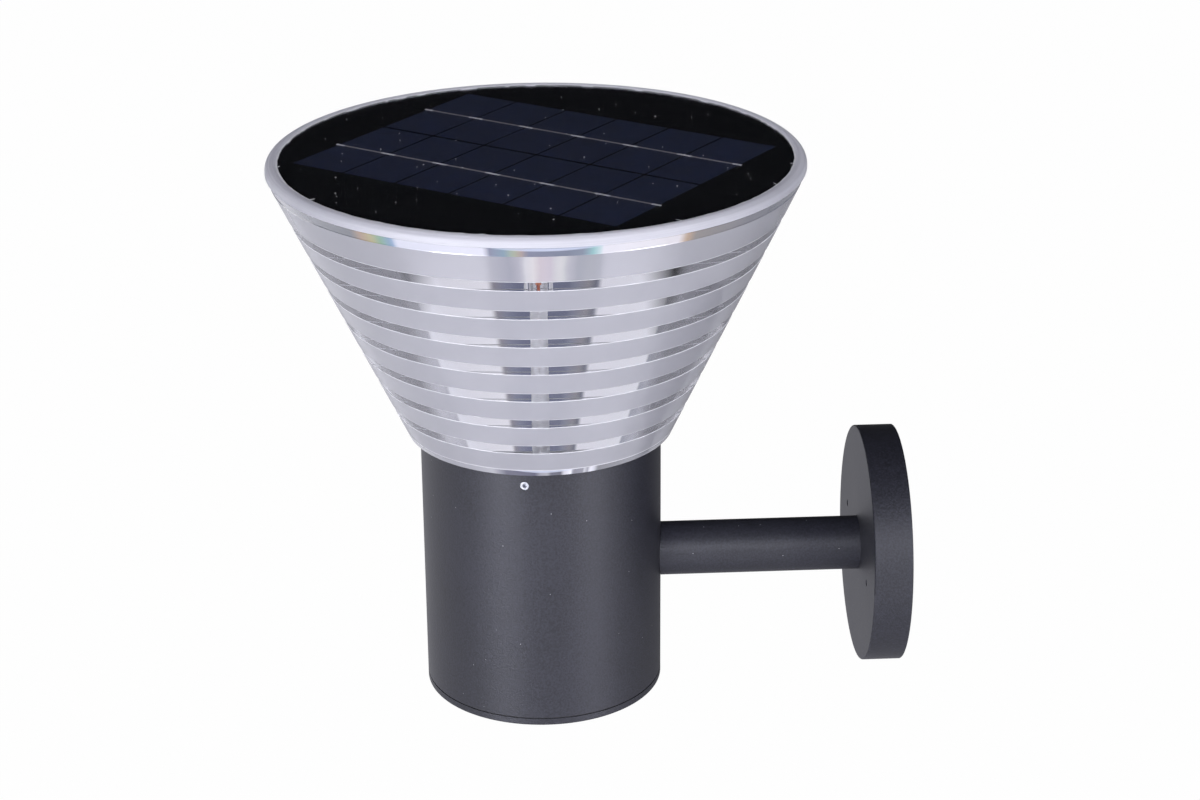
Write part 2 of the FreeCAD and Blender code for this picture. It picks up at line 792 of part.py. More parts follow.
save("diffuser_cone", [diffuser_cone()])
save("panel_cover", [ring(panel_radius, cover_low, panel_top)])
save("solar_cells", solar_cells())
save("cell_ribbons", cell_ribbons())
save("panel_board", [panel_board()])
save("reflector_film", [ring(panel_radius, recess_floor, board_low, pocket_radius)])
save("panel_sealant", [ring(recess_radius - 0.05, recess_floor, panel_top - 0.1, panel_radius + 0.05)])
save("panel_terminals", panel_terminals())
save("wire_sleeves", wire_sleeves())
save("panel_wire_red", [panel_wire(-1)])
save("panel_wire_black", [panel_wire(1)])

save("diffuser_collar", [diffuser_collar()])
save("diffuser_screws", diffuser_screws())
save("diffuser_gasket", [ring(body_radius - 0.3, tube_high, foot_height, spigot_radius + 1.5)])
save("led_board", [led_board()])
save("led_chips", led_chips())
save("led_reflector", [led_reflector()])
save("grub_screws", grub_screws())
save("led_wires", led_wires())

save("body_tube", [body_tube()])
save("cap_gasket", [ring(body_radius - cap_gasket_inset, cap_thickness, tube_low,
                         body_inner - cap_clearance)])
save("bottom_cap", [bottom_cap()])
save("cap_screws", cap_screws())
save("power_button", [power_button()])
save("button_oring", [button_oring()])
save("switch_plunger", [switch_plunger()])
save("switch_housing", [switch_housing()])

save("controller_board", [controller_board()])
save("board_screws", board_screws())
save("board_components", board_components())
save("board_connectors", board_connectors())
save("battery_cells", battery_cells())
save("battery_holder", [battery_holder()])
save("battery_wires", battery_wires())

save("arm_tube", [arm_tube()])
save("arm_inserts", arm_inserts())
save("arm_body_bolt", [hexagon_bolt(lamp_x + body_inner - saddle_washer_thickness, 1)])
save("saddle_washer", [saddle_washer()])
save("arm_plate_bolt", [hexagon_bolt(plate_front_x + plate_face + plate_washer_thickness, -1)])
save("plate_washer", [plate_washer()])
save("wall_plate", [wall_plate()])
save("plate_set_screws", plate_set_screws())
save("bracket_pillars", bracket_pillars())
save("mounting_bracket", [mounting_bracket()])
save("wall_gasket", [wall_gasket()])
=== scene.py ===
import math
import random

import bmesh
import bpy
from mathutils import Matrix, Vector


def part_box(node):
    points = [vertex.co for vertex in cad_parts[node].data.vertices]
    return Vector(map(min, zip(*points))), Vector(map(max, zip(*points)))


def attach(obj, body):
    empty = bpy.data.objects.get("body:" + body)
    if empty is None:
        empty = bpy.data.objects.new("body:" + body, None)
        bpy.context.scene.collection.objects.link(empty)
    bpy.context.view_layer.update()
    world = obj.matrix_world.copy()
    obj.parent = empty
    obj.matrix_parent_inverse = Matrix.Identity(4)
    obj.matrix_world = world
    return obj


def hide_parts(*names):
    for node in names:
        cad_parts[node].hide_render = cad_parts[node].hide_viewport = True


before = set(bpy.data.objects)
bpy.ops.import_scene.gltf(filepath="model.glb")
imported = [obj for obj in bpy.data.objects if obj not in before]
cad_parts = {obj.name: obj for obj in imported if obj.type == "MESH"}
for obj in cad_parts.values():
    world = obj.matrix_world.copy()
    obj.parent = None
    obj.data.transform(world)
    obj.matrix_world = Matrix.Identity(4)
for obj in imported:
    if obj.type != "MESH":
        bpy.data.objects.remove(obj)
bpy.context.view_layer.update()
scene = bpy.context.scene
scene.view_settings.view_transform = "Standard"

mm = 0.001
perRadian = 180 / math.pi
lampAxis = -132.0       # lamp's axis from the wall, mm
lampLow = -49.3         # lamp's bottom below the arm's axis, mm
weldGap = 1e-7          # points nearer than this are joined, metres
white = (1.0, 1.0, 1.0)
# detail and roughness of each kind of noise
noises = {"cloud": (4.0, 0.6), "grain": (2.0, 0.5), "scuff": (3.0, 0.6), "turned": (3.0, 0.7),
          "cloth": (3.0, 0.5)}
print("frame loaded,", len(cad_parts), "parts")


class Signal:
    # one output of a node, which can be used in plain sums
    def __init__(self, graph, node, socket):
        self.graph = graph
        self.node = node
        self.socket = socket

    def out(self, name):
        return Signal(self.graph, self.node, self.node.outputs[name])

    def calc(self, operation, *values):
        return self.graph.add("Math", {"operation": operation}, dict(enumerate(values)))

    def __add__(self, other):
        return self.calc("ADD", self, other)

    def __sub__(self, other):
        return self.calc("SUBTRACT", self, other)

    def __rsub__(self, other):
        return self.calc("SUBTRACT", other, self)

    def __mul__(self, other):
        return self.calc("MULTIPLY", self, other)

    def __truediv__(self, other):
        return self.calc("DIVIDE", self, other)

    def __lt__(self, other):
        return self.calc("LESS_THAN", self, other)

    def __gt__(self, other):
        return self.calc("GREATER_THAN", self, other)

    __radd__ = __add__
    __rmul__ = __mul__

    def distance(self):
        return self.calc("ABSOLUTE", self)

    def stretch(self, low, high):
        # 0 at low, 1 at high, held in between
        return self.graph.add("MapRange", {"clamp": True}, {"Value": self, "From Min": low, "From Max": high})

    def span(self, other):
        # length of the flat vector that these two make
        return self.calc("SQRT", self * self + other * other)

    def bearing(self, other):
        # and its angle from the second one, in degrees
        return self.calc("ARCTAN2", self, other) * perRadian


class Graph:
    def __init__(self, tree):
        tree.nodes.clear()
        self.tree = tree

    def add(self, kind, settings=None, inputs=None, output=0):
        node = self.tree.nodes.new("ShaderNode" + kind)
        for key, value in (settings or {}).items():
            if key == "stops":
                ramp = node.color_ramp.elements
                for place, _ in value[:-2]:
                    ramp.new(place)
                for stop, (place, colour) in zip(ramp, value):
                    stop.position = place
                    stop.color = (*colour, 1.0)
            else:
                setattr(node, key, value)
        for key, value in (inputs or {}).items():
            socket = node.inputs[key]
            if isinstance(value, Signal):
                self.tree.links.new(value.socket, socket)
            elif socket.type == "RGBA":
                socket.default_value = (*value[:3], 1.0)
            else:
                socket.default_value = value
        return Signal(self, node, node.outputs[output]) if len(node.outputs) else None

    def place(self):
        return self.add("TexCoord", None, None, "Object")

    def axes(self, vector):
        split = self.add("SeparateXYZ", None, {0: vector})
        return split, split.out("Y"), split.out("Z")

    def noise(self, where, scale, kind):
        detail, roughness = noises[kind]
        return self.add("TexNoise", None, {"Vector": where, "Scale": scale, "Detail": detail,
                                           "Roughness": roughness})

    def tint(self, factor, first, second):
        return self.add("Mix", {"data_type": "RGBA"}, {0: factor, 6: first, 7: second}, 2)

    def ramp(self, angle, stops, half):
        # colours by degrees, which run from -half to half
        places = [((place + half) / (2 * half), colour) for place, colour in stops]
        return self.add("ValToRGB", {"stops": places}, {0: (angle + half) / (2 * half)})

    def blendShaders(self, factor, first, second):
        return self.add("MixShader", None, {0: factor, 1: first, 2: second})

    def bump(self, height, strength, distance):
        # distance in mm
        return self.add("Bump", None, {"Height": height, "Strength": strength, "Distance": distance * mm})

    def gloss(self, **inputs):
        names = {key.replace("_", " "): value for key, value in inputs.items()}
        return self.add("BsdfPrincipled", None, names)

    def glass(self, colour, roughness, ior, **inputs):
        return self.gloss(Base_Color=colour, Roughness=roughness, IOR=ior, Transmission_Weight=1.0, **inputs)

    def finish(self, shader):
        self.add("OutputMaterial", None, {"Surface": shader})

    def outside(self):
        # 1 where a face is seen from its outer side
        return 1 - self.add("NewGeometry", None, None, "Backfacing")

    def around(self):
        # angle about the lamp in degrees, 0 at the front and growing to the right, then radius and height in mm
        centred = self.add("Mapping", {"vector_type": "TEXTURE"},
                           {"Vector": self.place(), "Location": (lampAxis * mm, 0.0, lampLow * mm),
                            "Scale": (mm, mm, mm)})
        x, y, height = self.axes(centred)
        return x.bearing(y * -1.0), x.span(y), height


materials = {}


def newMaterial(name):
    material = bpy.data.materials.new(name)
    material.use_nodes = True
    materials[name] = material
    return Graph(material.node_tree)


stock = {
    "patchShare": 0.6,          # how much of the tone comes from patches, the rest from grain
    "toneRange": (0.36, 0.64),
    "coatRough": 0.04,
    "stainRange": (0.4, 0.62),
    "stainRough": 0.12,
    "lineRough": 0.15,
    "lineRelief": (0.25, 0.02),     # strength, and height in mm
}


def mottled(name, look):
    # moulded, plated or printed stock: two tones, an uneven gloss and a fine grain
    graph = newMaterial(name)
    where = graph.place()
    patches = graph.noise(where, look["patches"], "cloud")
    grain = graph.noise(where, look["grain"], "grain")
    tone = (patches * stock["patchShare"] + grain * (1 - stock["patchShare"])).stretch(*stock["toneRange"])
    graph.finish(graph.gloss(Base_Color=graph.tint(tone, look["dark"], look["light"]),
                             Roughness=tone * look["roughSpread"] + look["rough"],
                             Normal=graph.bump(grain, look["relief"], look["depth"]),
                             Specular_IOR_Level=look.get("specular", 0.5), Coat_Weight=look.get("coat", 0.0),
                             Coat_Roughness=stock["coatRough"]))


def brushed(name, look):
    # bright metal with fine turning or drawing lines
    graph = newMaterial(name)
    where = graph.place()
    stretched = graph.add("Mapping", None, {"Vector": where, "Scale": look["stretch"]})
    lines = graph.noise(stretched, look["lines"], "scuff")
    stain = graph.noise(where, look["stains"], "cloud").stretch(*stock["stainRange"])
    rough = lines * stock["lineRough"] + stain * stock["stainRough"] + look["rough"]
    graph.finish(graph.gloss(Base_Color=graph.tint(stain, look["light"], look["dark"]), Metallic=1.0,
                             Roughness=rough, Normal=graph.bump(lines, *stock["lineRelief"])))


plainFinishes = {
    "black_board": {"dark": (0.0050, 0.0055, 0.0058), "light": (0.0070, 0.0076, 0.0082), "rough": 0.6,
                    "roughSpread": 0.15, "patches": 60.0, "grain": 2500.0, "relief": 0.1, "depth": 0.02,
                    "specular": 0.0, "coat": 0.6},
    "white_film": {"dark": (0.78, 0.78, 0.80), "light": (0.86, 0.86, 0.87), "rough": 0.45,
                   "roughSpread": 0.15, "patches": 90.0, "grain": 1800.0, "relief": 0.1, "depth": 0.02},
    "sleeve_orange": {"dark": (0.62, 0.17, 0.06), "light": (0.78, 0.26, 0.10), "rough": 0.35,
                      "roughSpread": 0.2, "patches": 400.0, "grain": 3000.0, "relief": 0.2, "depth": 0.03},
    "wire_red": {"dark": (0.48, 0.09, 0.04), "light": (0.66, 0.15, 0.07), "rough": 0.35,
                 "roughSpread": 0.15, "patches": 300.0, "grain": 2500.0, "relief": 0.1, "depth": 0.02},
    "wire_black": {"dark": (0.012, 0.012, 0.013), "light": (0.028, 0.028, 0.030), "rough": 0.35,
                   "roughSpread": 0.15, "patches": 300.0, "grain": 2500.0, "relief": 0.1, "depth": 0.02},
    "black_rubber": {"dark": (0.012, 0.012, 0.013), "light": (0.026, 0.026, 0.028), "rough": 0.65,
                     "roughSpread": 0.2, "patches": 120.0, "grain": 2200.0, "relief": 0.35, "depth": 0.05},
    "button_rubber": {"dark": (0.020, 0.020, 0.022), "light": (0.045, 0.045, 0.048), "rough": 0.55,
                      "roughSpread": 0.2, "patches": 260.0, "grain": 2600.0, "relief": 0.35, "depth": 0.04},
    "white_board": {"dark": (0.70, 0.71, 0.70), "light": (0.83, 0.83, 0.82), "rough": 0.30,
                    "roughSpread": 0.15, "patches": 140.0, "grain": 1600.0, "relief": 0.08, "depth": 0.02},
    "white_plastic": {"dark": (0.66, 0.65, 0.61), "light": (0.78, 0.77, 0.74), "rough": 0.35,
                      "roughSpread": 0.15, "patches": 160.0, "grain": 2000.0, "relief": 0.12, "depth": 0.03},
    "black_plastic": {"dark": (0.014, 0.014, 0.015), "light": (0.032, 0.032, 0.034), "rough": 0.40,
                      "roughSpread": 0.2, "patches": 110.0, "grain": 1500.0, "relief": 0.25, "depth": 0.04},
}
metalFinishes = {
    "bare_aluminium": {"light": (0.78, 0.78, 0.79), "dark": (0.55, 0.55, 0.57), "rough": 0.22,
                       "stretch": (0.15, 0.15, 1.0), "lines": 2500.0, "stains": 120.0},
    "steel_zinc": {"light": (0.70, 0.71, 0.73), "dark": (0.45, 0.46, 0.50), "rough": 0.22,
                   "stretch": (1.0, 1.0, 0.3), "lines": 1800.0, "stains": 350.0},
    "steel_black": {"light": (0.060, 0.060, 0.065), "dark": (0.020, 0.020, 0.022), "rough": 0.35,
                    "stretch": (1.0, 1.0, 0.4), "lines": 2000.0, "stains": 500.0},
    "solder": {"light": (0.66, 0.66, 0.68), "dark": (0.40, 0.40, 0.43), "rough": 0.20,
               "stretch": (1.0, 1.0, 1.0), "lines": 1500.0, "stains": 600.0},
}
for name, look in plainFinishes.items():
    mottled(name, look)
for name, look in metalFinishes.items():
    brushed(name, look)
print("plain finishes made,", len(materials))


paint = {
    "base": (0.0098, 0.0101, 0.0158),
    "pale": (0.0215, 0.0220, 0.0340),
    "speck": (0.42, 0.42, 0.45),
    "grain": 1400.0,            # powder coat's lumps, per metre
    "clouds": 30.0,             # slow changes of tone, per metre
    "lumpShare": 0.7,           # how much of the tone follows the lumps, the rest the clouds
    "toneRange": (0.38, 0.62),
    "relief": (0.85, 0.09),     # strength, and height in mm
    "rough": 0.40,
    "lumpRough": 0.10,
    "cloudRough": 0.08,
    "specular": 0.50,
    "dustAndSparkle": (240.0, 0.045, 0.5),    # painted sparkle: fine pale specks that stand for the powder coat's glints: cells per metre, size in cells, share of cells with one
}
speckCore = 0.6         # share of a speck's radius that is solid


def addSpecks(graph, where, scale, size, share, dimensions="3D"):
    # sparse round dots with soft edges
    cell = graph.add("TexVoronoi", {"feature": "F1", "voronoi_dimensions": dimensions},
                     {"Vector": where, "Scale": scale})
    chosen = graph.add("SeparateColor", None, {0: cell.out("Color")}) > 1 - share
    return (1 - cell.stretch(size * speckCore, size)) * chosen


def makePaint():
    graph = newMaterial("anthracite_paint")
    where = graph.place()
    lumps = graph.noise(where, paint["grain"], "grain")
    clouds = graph.noise(where, paint["clouds"], "cloud")
    tone = (lumps * paint["lumpShare"] + clouds * (1 - paint["lumpShare"])).stretch(*paint["toneRange"])
    colour = graph.tint(tone, paint["base"], paint["pale"])
    # painted sparkle: pale specks in the colour stand for the powder coat's glints
    colour = graph.tint(addSpecks(graph, where, *paint["dustAndSparkle"]), colour, paint["speck"])
    rough = clouds * paint["cloudRough"] + lumps * paint["lumpRough"] + paint["rough"]
    graph.finish(graph.gloss(Base_Color=colour, Roughness=rough, Specular_IOR_Level=paint["specular"],
                             Normal=graph.bump(lumps, *paint["relief"])))


makePaint()


acrylic = {
    "ior": 1.49,
    "haze": (0.97, 0.97, 1.0),      # tint of what shows through frost
    "clear": {"dull": (0.96, 0.965, 0.98), "bright": (0.985, 0.988, 1.0), "clouds": 90.0, "wisps": 900.0,
              "wispRange": (0.66, 0.74), "cloudRough": 0.02, "wispRough": 0.02},
    # painted light: the grooves are painted milky grey towards the sides, standing for the lighter view through
    # them there
    "paintedSideLight": {"colour": (0.44, 0.44, 0.49), "rough": 0.6, "specular": 0.3, "from": (29.0, 33.0),
             "cover": 0.35, "spread": 0.1},
    "frost": {"light": (0.41, 0.41, 0.455), "dark": (0.37, 0.37, 0.415), "grain": 2600.0, "clouds": 40.0,
              "toneRange": (0.35, 0.65), "relief": (0.2, 0.02), "rough": 0.75, "specular": 0.3,
              "coatRough": 0.07,
              "cover": 0.85,        # least share that scatters like paint
              "spread": 0.06,       # and how much it varies
              "hazeRough": 0.36, "clearRough": 0.02,
              "thinner": 0.18,      # the top band scatters this much less
              "bandEdge": 0.2,      # half the height over which the top band starts, mm
              "blur": 3.0},         # unevenness of the painted light on the top band, degrees
    "bead": {"light": (0.71, 0.71, 0.77), "dark": (0.59, 0.59, 0.65), "side": (0.42, 0.42, 0.48),
             "sideShadeShare": 0.5, "shadeFrom": (28.0, 58.0), "shadeTo": (58.0, 76.0), "toneRange": (0.36, 0.62),
             "rings": (1.6, 0.012),         # turning marks per mm across, and per degree along
             "relief": (0.5, 0.12), "rough": 0.5, "specular": 0.12, "hazeRough": 0.45, "cover": 0.7,
             "spread": 0.2},
    "edge": {"light": (0.78, 0.78, 0.82), "dark": (0.58, 0.58, 0.62), "patchiness": 160.0, "toneRange": (0.3, 0.7),
             "rough": 0.4, "spread": 0.2},
    "glint": {"wander": 0.6, "wanderScale": 35.0, "rough": 0.25, "coatRough": 0.03,
              # a painted highlight: a pale line in the upper part, which dips at the front
              "line": (0.52, 0.56, 0.70), "lineShare": 0.8, "lineRough": 0.2, "lineLow": 0.55,
              "lineEdge": 0.14, "lineWidth": 15.0, "lineDip": 0.6},
    "drilled": {"light": (0.96, 0.96, 0.98), "dark": (0.80, 0.80, 0.83), "haze": (0.98, 0.98, 1.0),
                "stretch": (1.0, 1.0, 6.0), "marks": 700.0, "rough": 0.6, "hazeRough": 0.15,
                "hazeSpread": 0.2, "cover": 0.82, "spread": 0.1},
    "glintHalf": 90.0,          # the lists below run this far to each side of the front
    # painted glints in the groove under the bead: degrees from the front, then colour
    "rimGlints": [(-90, (0.30, 0.31, 0.36)), (-66, (0.15, 0.16, 0.19)), (-42, (0.15, 0.16, 0.18)),
                  (-39.5, (0.34, 0.24, 0.18)), (-37, (0.38, 0.34, 0.18)), (-34.5, (0.20, 0.34, 0.25)),
                  (-31.8, (0.20, 0.30, 0.46)), (-30.6, (0.62, 0.63, 0.72)), (-12.4, (0.64, 0.64, 0.72)),
                  (-11.4, (0.20, 0.21, 0.29)), (-8.5, (0.19, 0.27, 0.34)), (-6.6, (0.30, 0.35, 0.26)),
                  (-5.2, (0.34, 0.27, 0.24)), (-3.8, (0.17, 0.18, 0.25)), (4, (0.15, 0.17, 0.23)),
                  (7.2, (0.18, 0.21, 0.27)), (9.2, (0.24, 0.42, 0.44)), (10.4, (0.42, 0.56, 0.58)),
                  (11.2, (0.66, 0.65, 0.70)), (27.5, (0.68, 0.65, 0.68)), (29.2, (0.46, 0.33, 0.23)),
                  (31.5, (0.24, 0.22, 0.21)), (46, (0.17, 0.17, 0.20)), (62, (0.20, 0.21, 0.26)),
                  (90, (0.34, 0.36, 0.42))],
    # painted light: the light thrown on the top band, by degrees from the front
    "bandGlints": [(-90, (0.45, 0.45, 0.50)), (-24, (0.47, 0.47, 0.52)), (-13, (0.44, 0.44, 0.49)),
                   (-10, (0.41, 0.41, 0.46)), (-7.5, (0.36, 0.36, 0.41)), (-5.2, (0.45, 0.44, 0.49)),
                   (-4.2, (0.64, 0.63, 0.66)), (-2.8, (0.68, 0.67, 0.68)), (-1.5, (0.58, 0.53, 0.58)),
                   (0.8, (0.56, 0.51, 0.57)), (1.9, (0.65, 0.64, 0.65)), (3.2, (0.68, 0.67, 0.66)),
                   (4.4, (0.50, 0.49, 0.53)), (6.5, (0.36, 0.37, 0.41)), (9, (0.39, 0.40, 0.44)),
                   (13, (0.44, 0.44, 0.49)), (18, (0.46, 0.46, 0.51)), (90, (0.45, 0.45, 0.50))],
    # and painted glints in the clear lip of the foot
    "footGlints": [(-90, (0.34, 0.34, 0.37)), (-40, (0.30, 0.30, 0.34)), (-22, (0.42, 0.42, 0.46)),
                   (-16, (0.13, 0.13, 0.18)), (-4, (0.10, 0.10, 0.15)), (-2, (0.28, 0.28, 0.32)),
                   (1, (0.34, 0.34, 0.37)), (2.4, (0.12, 0.12, 0.16)), (6.5, (0.11, 0.11, 0.14)),
                   (7.6, (0.55, 0.55, 0.60)), (10.6, (0.78, 0.78, 0.84)), (11.4, (0.22, 0.22, 0.26)),
                   (15.5, (0.26, 0.26, 0.30)), (16.5, (0.66, 0.66, 0.72)), (17.3, (0.18, 0.18, 0.22)),
                   (18.6, (0.80, 0.80, 0.86)), (20.5, (0.60, 0.60, 0.66)), (22, (0.22, 0.22, 0.24)),
                   (36, (0.30, 0.30, 0.33)), (60, (0.42, 0.42, 0.46)), (90, (0.34, 0.34, 0.37))],
}


def makeClearAcrylic():
    look, paintedSideLight = acrylic["clear"], acrylic["paintedSideLight"]
    graph = newMaterial("clear_acrylic")
    where = graph.place()
    clouds = graph.noise(where, look["clouds"], "cloud")
    wisps = graph.noise(where, look["wisps"], "grain").stretch(*look["wispRange"])
    clear = graph.glass(graph.tint(clouds, look["dull"], look["bright"]),
                        clouds * look["cloudRough"] + wisps * look["wispRough"], acrylic["ior"])
    paintedSideGrey = graph.gloss(Base_Color=paintedSideLight["colour"], Roughness=paintedSideLight["rough"],
                         Specular_IOR_Level=paintedSideLight["specular"])
    # painted light: outer faces turn grey towards the sides, by angle from the front
    side = graph.around()[0].distance().stretch(*paintedSideLight["from"]) * graph.outside()
    graph.finish(graph.blendShaders(side * (clouds * paintedSideLight["spread"] + paintedSideLight["cover"]), clear, paintedSideGrey))


def makeFrostedAcrylic(bandLow):
    # frosted towards the room; the far wall, which is seen through the solid, stays clear
    look = acrylic["frost"]
    graph = newMaterial("frosted_acrylic")
    where = graph.place()
    turn, _, height = graph.around()
    outside = graph.outside()
    grain = graph.noise(where, look["grain"], "grain")
    clouds = graph.noise(where, look["clouds"], "cloud")
    colour = graph.tint(clouds.stretch(*look["toneRange"]), look["dark"], look["light"])
    # painted light: the top band takes its colour from bandGlints by angle, standing for light gathered through
    # the solid
    glint = graph.ramp(turn + clouds * look["blur"] - look["blur"] / 2, acrylic["bandGlints"],
                       acrylic["glintHalf"])
    topBand = height.stretch(bandLow - look["bandEdge"], bandLow + look["bandEdge"])
    cover = graph.gloss(Base_Color=graph.tint(topBand, colour, glint), Roughness=look["rough"],
                        Normal=graph.bump(grain, *look["relief"]), Specular_IOR_Level=look["specular"],
                        Coat_Weight=1.0, Coat_Roughness=look["coatRough"], Coat_IOR=acrylic["ior"])
    thinner = topBand * look["thinner"]
    haze = graph.glass(acrylic["haze"], outside * (look["hazeRough"] - thinner) + look["clearRough"],
                       acrylic["ior"])
    share = outside * (clouds * look["spread"] + look["cover"] - thinner)
    graph.finish(graph.blendShaders(share, haze, cover))


def makeBeadAcrylic():
    # the rim's rounded edge, with turning marks that run around it, and painted shade towards its sides
    look = acrylic["bead"]
    graph = newMaterial("bead_acrylic")
    turn, radius, height = graph.around()
    across, along = look["rings"]
    rings = graph.add("CombineXYZ", None, {0: radius * across, 1: height * across, 2: turn * along})
    marks = graph.noise(rings, 1.0, "turned")
    colour = graph.tint(marks.stretch(*look["toneRange"]), look["dark"], look["light"])
    # painted shade: the colour darkens towards the sides, by degrees from the front
    side = turn.distance().stretch(*look["shadeFrom"]) * (1 - turn.distance().stretch(*look["shadeTo"]))
    colour = graph.tint(side * look["sideShadeShare"], colour, look["side"])
    bump = graph.bump(marks, *look["relief"])
    cover = graph.gloss(Base_Color=colour, Roughness=look["rough"], Normal=bump,
                        Specular_IOR_Level=look["specular"])
    haze = graph.glass(acrylic["haze"], look["hazeRough"], acrylic["ior"], Normal=bump)
    graph.finish(graph.blendShaders(marks * look["spread"] + look["cover"], haze, cover))


def makeEdgeAcrylic():
    # painted highlight: a groove's bevels are painted pale, for the bright line where they catch the light,
    # with a patchy tone
    look = acrylic["edge"]
    graph = newMaterial("edge_acrylic")
    patchiness = graph.noise(graph.place(), look["patchiness"], "scuff")
    colour = graph.tint(patchiness.stretch(*look["toneRange"]), look["dark"], look["light"])
    graph.finish(graph.gloss(Base_Color=colour, Roughness=patchiness * look["spread"] + look["rough"]))


def makeGlintAcrylic(name, glints, low, high):
    # painted glints: a clear edge between two heights, whose bending of the room is painted by angle as short
    # coloured lengths
    look = acrylic["glint"]
    graph = newMaterial(name)
    turn, _, height = graph.around()
    wander = graph.noise(graph.place(), look["wanderScale"], "grain") * (2 * look["wander"]) - look["wander"]
    colour = graph.ramp(turn + wander, glints, acrylic["glintHalf"])
    level = (height - low) / (high - low)
    # painted highlight: a pale line near the top of the edge, dipping at the front
    hollow = turn / look["lineWidth"]
    line = (level - look["lineLow"] - hollow * hollow * look["lineDip"]).stretch(0.0, look["lineEdge"])
    colour = graph.tint(line * look["lineShare"], colour, look["line"])
    graph.finish(graph.gloss(Base_Color=colour, Roughness=line * look["lineRough"] + look["rough"],
                             Coat_Weight=1.0, Coat_Roughness=look["coatRough"], Coat_IOR=acrylic["ior"]))


def makeDrilledAcrylic():
    # the drilled wire bore is left rough
    look = acrylic["drilled"]
    graph = newMaterial("drilled_acrylic")
    marks = graph.add("Mapping", None, {"Vector": graph.place(), "Scale": look["stretch"]})
    grain = graph.noise(marks, look["marks"], "scuff")
    cover = graph.gloss(Base_Color=graph.tint(grain, look["dark"], look["light"]), Roughness=look["rough"])
    haze = graph.glass(look["haze"], grain * look["hazeSpread"] + look["hazeRough"], acrylic["ior"])
    graph.finish(graph.blendShaders(grain * look["spread"] + look["cover"], haze, cover))


def lampPoint(x, height, y=0.0):
    # from mm about the lamp's axis and bottom to metres in the frame
    return Vector(((lampAxis + x) * mm, y * mm, (lampLow + height) * mm))


def spinLoop(points, steps):
    # turns a closed outline about the lamp's axis
    shape = bmesh.new()
    corners = [shape.verts.new(lampPoint(radius, height)) for radius, height in points]
    sides = [shape.edges.new(pair) for pair in zip(corners, corners[1:])]
    sides.append(shape.edges.new((corners[-1], corners[0])))
    bmesh.ops.spin(shape, geom=corners + sides, cent=lampPoint(0, 0), axis=(0, 0, 1), angle=math.tau,
                   steps=steps, use_merge=True)
    bmesh.ops.remove_doubles(shape, verts=shape.verts, dist=weldGap)
    bmesh.ops.recalc_face_normals(shape, faces=shape.faces)
    return shape


def finishPiece(name, shape, finishes, sharp=25.0):
    # edges stay crisp above the sharp angle, degrees
    mesh = bpy.data.meshes.new(name)
    shape.to_mesh(mesh)
    shape.free()
    for face in mesh.polygons:
        face.use_smooth = True
    mesh.set_sharp_from_angle(angle=math.radians(sharp))
    piece = bpy.data.objects.new(name, mesh)
    scene.collection.objects.link(piece)
    for finish in finishes:
        mesh.materials.append(materials[finish])
    return piece


diffuser = {
    "footRadius": 48.4,
    "footHeight": 101.4,
    "tangentRadius": 94.74,     # where the straight side meets the rim's bead
    "tangentHeight": 200.29,
    "beadRadius": 2.75,
    "beadCentre": (92.25, 201.45),
    "beadSteps": 14,
    "recessRadius": 91.1,
    "recessFloor": 200.27,
    "pocketRadius": 3.3,
    "pocketFloor": 177.3,
    "boreRadius": 2.0,
    "spigotRadius": 37.5,
    "spigotLow": 96.4,
    "grooveDepth": 0.2,
    "lowerLip": 0.22,           # bevel at a groove's lower edge
    "upperLip": 0.34,
    "rimGroove": (197.5, 200.9),
    "grooves": [(183.3, 187.3), (171.35, 175.35), (159.4, 163.4), (147.45, 151.45), (135.5, 139.5),
                (123.55, 127.55), (111.6, 115.6)],
    "clearFoot": 103.65,        # the foot is clear below this height
    "skin": 0.6,                # faces this near the side belong to the outside
    "boreSlack": 0.1,           # and this near the pocket to the drilled bore
    "wallSlack": 0.01,          # and this near the recess's wall to the bead
    "steps": 360,
    "sharp": 12.0,
}


def sidePoint(height, depth=0.0):
    # on the diffuser's straight side, or this deep in it
    look = diffuser
    slope = (look["tangentRadius"] - look["footRadius"]) / (look["tangentHeight"] - look["footHeight"])
    return look["footRadius"] + (height - look["footHeight"]) * slope - depth, height


def outlineDiffuser():
    look = diffuser
    foot, floorHeight, bottom = look["clearFoot"], look["recessFloor"], look["spigotLow"]
    points = [sidePoint(look["footHeight"]), sidePoint(foot), sidePoint(foot + look["upperLip"])]
    for low, high in sorted(look["grooves"] + [look["rimGroove"]]):
        points += [sidePoint(low), sidePoint(low + look["lowerLip"], look["grooveDepth"]),
                   sidePoint(high - look["upperLip"], look["grooveDepth"]), sidePoint(high)]
    x, y = look["beadCentre"]
    bead, steps = look["beadRadius"], look["beadSteps"]
    start = math.asin((look["rimGroove"][1] - y) / bead)
    end = math.acos((look["recessRadius"] - x) / bead)
    for step in range(steps + 1):
        angle = start + (end - start) * step / steps
        points.append((x + bead * math.cos(angle), y + bead * math.sin(angle)))
    return points + [(look["recessRadius"], floorHeight), (look["pocketRadius"], floorHeight),
                     (look["pocketRadius"], look["pocketFloor"]), (look["boreRadius"], look["pocketFloor"]),
                     (look["boreRadius"], bottom), (look["spigotRadius"], bottom),
                     (look["spigotRadius"], look["footHeight"])]


